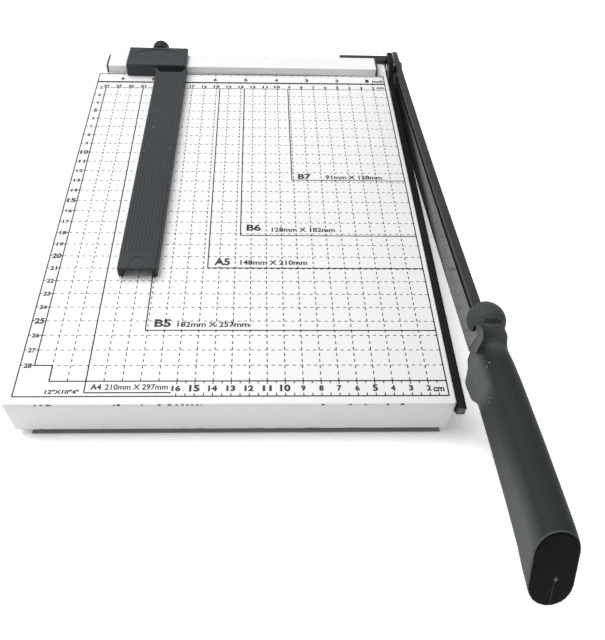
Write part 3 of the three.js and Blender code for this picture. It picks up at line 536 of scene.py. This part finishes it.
# %% The web over the blade's end
WEB = (                        # in front of the fence and above the board, in millimetres
    (278.3, 36.9), (278.5, 33.4), (283.1, 36.0), (287.4, 37.7), (285.2, 26.2),
    (284.9, 21.0), (292.6, 32.0), (293.4, 46.0), (290.2, 48.9), (284.8, 46.4),
)
WEB_SIDES = (0.45 * MM, 0.25 * MM)     # how far left of the cutting line its two sides lie
corners = [on_board(left, front * MM, up * MM) for left in WEB_SIDES for front, up in WEB]
near, far = range(len(WEB)), range(len(WEB), 2 * len(WEB))
rim = [(near[i - 1], far[i - 1], far[i], near[i]) for i in near]
web = made_mesh("neck_web", corners, [near, far[::-1], *rim], handle_plastic)
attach(web, "blade_arm")
print("the web has", len(WEB), "corners on each side")

# %% [markdown]
# ## Steel, brass and rubber
# The moving blade is tool steel, ground along its length and blued by oil. The small screws are
# zinc plated, the pivot hardware is polished, and the clamp works in brass. A ground or turned
# surface is noise stretched along the direction of the tool.

# %% Metals
def ground_metal(name, low, high, smooth, lines):
    """A metal with tool marks, between two greys. lines is how far the marks stretch along each axis."""
    metal = Finish(name)
    marks = metal.noise(0.25 * MM, detail=3.0, stretch=lines)
    stains = metal.noise(14 * MM, detail=4.0, roughness=0.65)
    colour = metal.mix(marks * 0.5 + stains * 0.5, grey(low), grey(high))
    roughness = smooth + marks * 0.06 + stains * 0.06
    return metal.shade(colour, roughness, metal.bump(marks, 0.001 * MM), metallic=0.95)


def blued_steel():
    """The moving blade: ground along its length, bright in front and painted darker near the pivot, as a
    painted reflection of the black fixed blade beside it.
    """
    metal = Finish("blued_steel")
    marks = metal.noise(0.25 * MM, detail=3.0, stretch=(1, 60, 1))
    stains = metal.noise(9 * MM, detail=4.0, roughness=0.65)
    reach = fence_y - metal.along("Y")
    # bright is 0 near the pivot, where the blade's colour is painted darker: a painted reflection of the
    # black fixed blade
    bright = (reach + (stains - 0.5) * 30 * MM).fade(85 * MM, 180 * MM)
    clean = metal.mix(marks * 0.5 + stains * 0.5, grey(0.068, 0.08), grey(0.092, 0.05))
    # painted reflection: the dark grey near the pivot
    colour = metal.mix(bright, grey(0.03, 0.05), clean)
    roughness = 0.14 + marks * 0.04 + stains * 0.06
    return metal.shade(colour, roughness, metal.bump(marks, 0.0003 * MM), metallic=0.95)


small_screws = [name for name in nodes if "screw" in name or name.startswith("blade_rivet")]
pivot_steel = ["pivot_bolt", "pivot_washer", "pivot_spacer"]
dressed(["moving_blade"], blued_steel())
dressed(small_screws, ground_metal("zinc_plate", 0.50, 0.68, 0.24, (3, 3, 3)))
dressed(pivot_steel, ground_metal("polished_steel", 0.72, 0.86, 0.12, (2, 4, 4)))


def turned_brass():
    """The clamp's insert and pad, fresh from the lathe."""
    metal = Finish("turned_brass")
    marks = metal.noise(0.3 * MM, detail=2.0)
    colour = metal.mix(marks, (0.55, 0.36, 0.12, 1.0), (0.70, 0.49, 0.20, 1.0))
    return metal.shade(colour, 0.26 + marks * 0.12, metal.bump(marks, 0.004 * MM), metallic=1.0)


dressed(["clamp_insert", "clamp_pad"], turned_brass())

# %% [markdown]
# The feet are black rubber. It is dull, so its roughness is high, and a pale bloom lies on it in
# patches, which two greys mixed by slow noise give.

# %% Rubber feet
def foot_rubber():
    """Dull black rubber with a pale bloom."""
    rubber = Finish("foot_rubber")
    bloom = rubber.noise(6 * MM, detail=4.0)
    grain = rubber.noise(0.4 * MM, detail=2.0)
    colour = rubber.mix(bloom, grey(0.012), grey(0.028))
    return rubber.shade(colour, 0.78 + grain * 0.12, rubber.bump(grain, 0.02 * MM))


feet = [name for name in nodes if name.startswith("foot_") and "screw" not in name]
dressed(feet, foot_rubber())

# %% [markdown]
# ## The printed scale
# The board carries a screen print: a frame, inch and centimetre rulers, a dashed centimetre grid
# and the outlines of common paper sizes. A picture would blur up close, so the ink is a mesh: one
# thin rectangle for each stroke, laid just above the paint. All of the strokes are one piece. The
# ink is nearly black, a little shiny, and greyer where it is thin.

# %% Ink
def screen_ink():
    """Printer's ink, worn in wide patches and thin in small ones."""
    ink = Finish("screen_ink")
    thin_spots = ink.noise(0.5 * MM, detail=3.0).fade(0.35, 0.8)
    wear = ink.noise(40 * MM, detail=2.0)
    colour = ink.mix(thin_spots * 0.5 + wear * 0.3, grey(0.006, 0.05), grey(0.026, 0.03))
    return ink.shade(colour, 0.45 + thin_spots * 0.2, ink.bump(thin_spots, 0.004 * MM))


ink = screen_ink()

# %% [markdown]
# The print isn't quite square on the board, so every place of it goes through one function that
# shifts it and, near the fence, turns it a little. From here to the end of the lettering the
# numbers are millimetres: left of the cutting line, then in front of the fence.

# %% Strokes of ink
INK_HEIGHT = 0.03 * MM
SHIFT_RIGHT, SHIFT_FRONT = 0.4, 0.8
TURN, TURN_DEPTH, TURN_MIDDLE = 1.1, 100, 125      # the turn at the fence, its reach and its middle
DASH = 2.0                     # length of a dash, and of the gap after it
strokes = []


def printed(left, front):
    """The place in the frame of a place of the print."""
    turned = max(0.0, 1 - front / TURN_DEPTH)
    askew = SHIFT_FRONT * (1 - turned) + (left / TURN_MIDDLE - 1) * TURN * turned
    return on_board((left - SHIFT_RIGHT) * MM, (front + askew) * MM, INK_HEIGHT)


def stroke(left, front, to_left, to_front, width):
    """A straight line of ink between two places."""
    a, b = printed(left, front), printed(to_left, to_front)
    side = (b - a).normalized().cross(Vector((0, 0, 1))) * width * MM / 2
    strokes.append((a + side, b + side, b - side, a - side))


def dashes(start, end):
    """Where the dashes of one line start and end."""
    count = math.ceil((end - start) / (2 * DASH))
    starts = [start + 2 * DASH * i for i in range(count)]
    return [(first, min(first + DASH, end)) for first in starts]


print("the print is shifted by", SHIFT_RIGHT, "mm to the right and", SHIFT_FRONT, "mm to the front")

# %% The frame, the rulers and the step at the bottom left
RIGHT, LEFT, TOP, BOTTOM = 9.6, 247.9, 0.6, 299.3        # the print's frame
INCH_LINE, CM_LINE = 12.0, 20.0                          # below the inch row and the centimetre row
COLUMN, STEP_TOP, STEP_LEFT, FOOT_LINE = 240.0, 280.0, 230.0, 290.0
INCH, INCH_SHIFT = 25.4, 1.0                             # the inch ruler starts right of the cutting line
thin, plain, bold = 0.6, 0.8, 1.8                        # widths of the lines

stroke(RIGHT, TOP, RIGHT, BOTTOM, plain)
stroke(LEFT, TOP, LEFT, BOTTOM, plain)
stroke(LEFT, TOP, RIGHT, TOP, plain)
stroke(LEFT, BOTTOM, RIGHT, BOTTOM, plain)
stroke(LEFT, INCH_LINE, RIGHT, INCH_LINE, bold)
stroke(COLUMN, CM_LINE, RIGHT, CM_LINE, thin)
stroke(COLUMN, CM_LINE, COLUMN, STEP_TOP, plain)
stroke(COLUMN, STEP_TOP, STEP_LEFT, STEP_TOP, plain)
stroke(STEP_LEFT, STEP_TOP, STEP_LEFT, FOOT_LINE, plain)
stroke(STEP_LEFT, FOOT_LINE, RIGHT, FOOT_LINE, plain)

for quarter in range(2, 40):                             # ticks of the inch ruler, every quarter inch
    place = quarter * INCH / 4 - INCH_SHIFT
    long = 2.4 if quarter % 4 == 0 else 1.6 if quarter % 2 == 0 else 1.1
    stroke(place, TOP, place, TOP + long, thin)
for half in range(3, 50):                                # ticks of the centimetre ruler, every 5 mm
    place = half * 5.0
    long = 1.8 if half % 2 == 0 else 1.1
    stroke(place, INCH_LINE, place, INCH_LINE + long, thin)
    stroke(place, CM_LINE, place, CM_LINE - long / 2, thin)
for half in range(3, 33):                                # ticks of the lower ruler, above and below
    place = half * 5.0
    stroke(place, FOOT_LINE, place, FOOT_LINE + (2.0 if half % 2 == 0 else 1.5), thin)
    stroke(place, BOTTOM, place, BOTTOM - 2.0, thin)
for row in range(2, 29):                                 # ticks of the column at the left
    stroke(COLUMN, row * 10.0, COLUMN + 1.6, row * 10.0, thin)
    stroke(LEFT, row * 10.0, LEFT - 1.6, row * 10.0, thin)
print("frame and rulers:", len(strokes), "strokes")

# %% [markdown]
# The grid's lines are dashed, and the lines down the board are a little wider than those across
# it. The paper sizes are solid outlines whose corners were measured on the photographed board.

# %% The centimetre grid and the paper sizes
dashed_down, dashed_across = 0.62, 0.5
for column in range(2, 24):
    for start, end in dashes(CM_LINE, FOOT_LINE):
        stroke(column * 10.0, start, column * 10.0, end, dashed_down)
for row in range(3, 29):
    for start, end in dashes(RIGHT, COLUMN):
        stroke(start, row * 10.0, end, row * 10.0, dashed_across)
print("with the grid:", len(strokes), "strokes")

for wide, high in ((91.3, 128.0), (127.1, 181.6), (147.3, 209.4), (181.2, 256.6)):
    stroke(wide, CM_LINE, wide, high, plain)
    stroke(wide, high, RIGHT, high, plain)
stroke(209.9, CM_LINE, 209.9, 297.0, plain)
stroke(209.9, 297.0, 162.8, 297.0, plain)
corners = [corner for rectangle in strokes for corner in rectangle]
lines = made_mesh("printed_lines", corners, [range(4 * i, 4 * i + 4) for i in range(len(strokes))], ink)
print("with the paper sizes:", len(strokes), "strokes")

# %% [markdown]
# The figures and words are text objects turned into meshes. The printer's typeface isn't at hand,
# so each word is stretched to the width and height that it has on the board, and its outline is
# thickened by a share of its size. In the end all of the words are joined into one piece.

# %% Lettering
letters = []


def lettering(words, left, base, width, height, weight=0.0):
    """Words of that width and height whose lower left corner is at (left, base)."""
    text = bpy.data.curves.new("word", "FONT")
    text.body, text.size, text.offset = words, 1.0, weight
    text.resolution_u = 3
    shaped = placed("word", text)
    bpy.context.view_layer.update()
    mesh = bpy.data.meshes.new_from_object(shaped.evaluated_get(bpy.context.evaluated_depsgraph_get()))
    bpy.data.objects.remove(shaped)
    low = Vector([min(v.co[i] for v in mesh.vertices) for i in range(3)])
    high = Vector([max(v.co[i] for v in mesh.vertices) for i in range(3)])
    corner = printed(left, base)
    for v in mesh.vertices:
        across, up = (v.co.x - low.x) / (high.x - low.x), (v.co.y - low.y) / (high.y - low.y)
        v.co = corner + Vector((across * width * MM, up * height * MM, 0.0))
    letters.append(mesh)


def figure(number, middle, base, height, weight=0.0):
    """A number centred on a place, with figures of one width."""
    width = height * (0.70 + 0.70 * (len(str(number)) - 1))
    lettering(str(number), middle + width / 2, base, width, height, weight)


BOLD, HEAVY, LIGHT = 0.035, 0.05, 0.028        # how much the outlines are thickened
INCH_PITCH = 25.5                              # the inch figures drift a little along their ruler
for inch in range(1, 10):
    figure(inch, inch * INCH_PITCH - 1.4, 9.9, 4.2, HEAVY)
for cm in range(2, 25):
    major = cm % 5 == 0
    figure(cm, cm * 10.0, 19.0, 3.6 if major else 3.2, HEAVY)
for row in range(2, 29):
    major = row % 5 == 0
    figure(row, COLUMN + 3.7, row * 10.0 + (2.1 if major else 1.7), 4.2 if major else 3.2, HEAVY)
for cm in range(2, 17):
    major = cm % 5 == 0
    figure(cm, cm * 10.0 + 0.1, 296.5 if major else 296.3, 4.2 if major else 3.6, HEAVY)

lettering("B7", 86.8, 127.0, 9.5, 5.5, BOLD)
lettering("91mm X 128mm", 66.9, 126.8, 41.1, 4.2, LIGHT)
lettering("B6", 123.2, 177.5, 9.7, 5.9, BOLD)
lettering("128mm X 182mm", 106.4, 178.2, 42.5, 3.9, LIGHT)
lettering("A5", 143.4, 207.2, 10.1, 5.8, BOLD)
lettering("148mm X 210mm", 126.8, 206.8, 43.0, 4.0, LIGHT)
lettering("B5", 176.4, 254.3, 9.8, 5.6, BOLD)
lettering("182mm X 257mm", 162.9, 254.3, 42.3, 3.8, LIGHT)
lettering("A4", 206.9, 295.4, 6.1, 3.8, BOLD)
lettering("210mm X 297mm", 199.0, 295.4, 34.4, 3.6, LIGHT)
lettering("12\"X10\"4\"", 230.9, 297.8, 18.3, 2.7, HEAVY)
lettering("cm", 17.8, 296.8, 6.2, 2.8, BOLD)
lettering("cm", 17.2, 18.6, 6.4, 2.5, BOLD)
lettering("inch", 19.9, 10.0, 9.4, 3.6, BOLD)

figures, *others = [placed("printed_figures", mesh) for mesh in letters]
with bpy.context.temp_override(active_object=figures, selected_editable_objects=[figures, *others]):
    bpy.ops.object.join()
figures.data.materials.clear()
figures.data.materials.append(ink)
for piece in (lines, figures):
    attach(piece, "base")
print("lettering:", len(letters), "words and", len(figures.data.polygons), "faces")

# %% [markdown]
# ## Table
# The cutter stands on a white table. More light would make the table whiter and wash the cutter
# out, so the table's own colour is raised instead, and only for the camera and in reflections.
# Farther away it turns plain white, so that no horizon shows. Under the board the table is painted
# darker, a painted shadow, which gives the dark line below the board.

# %% The table
TABLE = 4.0                                  # from its middle to its sides
PLAIN_FROM, PLAIN_TO = 0.5, 1.2              # the distances between which the table turns plain white
# the painted shadow under the board ends so far inside the board's left and right sides
SHADOW_INSET_LEFT, SHADOW_INSET_RIGHT = 9 * MM, 3 * MM       # how far inside the board's sides the dark patch ends
SHADOW_BLUR = 0.4 * MM


def white_table():
    """A matt white table with a faint tooth and a painted shadow under the board."""
    sweep = Finish("white_table")
    tooth = sweep.noise(3 * MM, detail=2.0)
    x, y = sweep.along("X"), sweep.along("Y")
    insides = (
        (x - board_low.x, SHADOW_INSET_LEFT), (board_high.x - x, SHADOW_INSET_RIGHT),
        (y - board_low.y, 0.0), (board_high.y - y, 0.0),
    )
    # painted shadow: 1 under the board, where the table's colour is painted darker as if in shade
    shadow_under_board = math.prod(inside.fade(end - SHADOW_BLUR, end + SHADOW_BLUR) for inside, end in insides)
    open_table = sweep.mix(sweep.seen("Camera", "Glossy", "Transmission"), grey(0.98), grey(1.9, -0.01))
    colour = sweep.mix(shadow_under_board, open_table, grey(0.45))
    rough = sweep.bump(tooth, 0.01 * MM)
    matt = sweep.node("ShaderNodeBsdfDiffuse", inputs={"Color": colour, "Normal": rough})
    plain = sweep.node("ShaderNodeEmission", inputs={"Color": (1, 1, 1, 1), "Strength": 1.0})
    away = sweep.vector("LENGTH", sweep.place, output="Value")
    horizon = sweep.seen("Camera") * away.fade(PLAIN_FROM, PLAIN_TO)
    return sweep.end(sweep.node("ShaderNodeMixShader", inputs={0: horizon, 1: matt, 2: plain}))


sides = [(-TABLE, -TABLE, 0), (TABLE, -TABLE, 0), (TABLE, TABLE, 0), (-TABLE, TABLE, 0)]
table = made_mesh("table", sides, [(0, 1, 2, 3)], white_table())
table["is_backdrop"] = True
print("the table is", 2 * TABLE, "m wide")

# %% [markdown]
# ## Light
# One big soft lamp stands behind the cutter, to its left and high above it. It whitens the board
# and leaves the front wall and the near side of the handle in soft shade, as in the photograph. A
# weak even sky fills the shadows. To the camera, and through anything clear, the sky is white.

# %% The lamp and the sky
LAMP_AT = (-0.6, 0.45, 1.6)    # left of the frame's middle, behind it and above the table
LAMP_SIZE, LAMP_POWER = 1.3, 27.5
SKY = 0.34                     # strength of the sky's light; to the camera it is 1

lamp = bpy.data.lights.new("window_lamp", "AREA")
lamp.shape, lamp.size, lamp.energy = "SQUARE", LAMP_SIZE, LAMP_POWER
stand = placed("window_lamp", lamp)
stand.location = LAMP_AT
stand.rotation_euler = ((cad_low + cad_high) / 2 - Vector(LAMP_AT)).to_track_quat("-Z", "Y").to_euler()

world = bpy.data.worlds.new("sky")
world.use_nodes = True
bpy.context.scene.world = world
air = Formula(world.node_tree)
strength = SKY + air.seen("Camera", "Transmission") * (1 - SKY)
glow = air.node("ShaderNodeBackground", inputs={"Color": (1, 1, 1, 1), "Strength": strength})
air.node("ShaderNodeOutputWorld", inputs={"Surface": glow})
print("one lamp of", LAMP_POWER, "W and a sky of", SKY)

# %% [markdown]
# ## Camera
# The lens and the place come from the printed grid in the photograph, which is a ruler seen in
# perspective. The photograph was cropped, so its optical centre isn't its middle: hence the shift.

# %% The camera
PHOTO_HIGH, PHOTO_WIDE = 640, 605
FOCAL = 680.0                  # focal length in the photograph's pixels
CENTRE = (281.75, 224.38)      # optical centre in the photograph's pixels
SENSOR = 36.0                  # millimetres, as Blender's lenses are given
CAMERA_AT = (116.584, 483.542, 336.685)      # left of the cut, in front of the fence, above the board
CAMERA_TURNS = (42.7717, -1.8614, -1.2055)   # degrees about X, Y and Z

film = bpy.data.cameras.new("camera")
film.sensor_width = SENSOR
film.lens = FOCAL / PHOTO_HIGH * SENSOR
film.shift_x = (PHOTO_WIDE / 2 - CENTRE[0]) / PHOTO_HIGH
film.shift_y = (CENTRE[1] - PHOTO_HIGH / 2) / PHOTO_HIGH
camera = placed("camera", film)
camera.location = on_board(*(length * MM for length in CAMERA_AT))
camera.rotation_euler = [math.radians(turn) for turn in CAMERA_TURNS]
bpy.context.scene.camera = camera
bpy.context.scene.view_settings.view_transform = "Standard"
print("the lens is", round(film.lens, 2), "mm on a film of", SENSOR, "mm")

# %% Sizes and the end
low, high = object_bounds()
print("visual size", [round(s / MM, 1) for s in high - low], "mm")
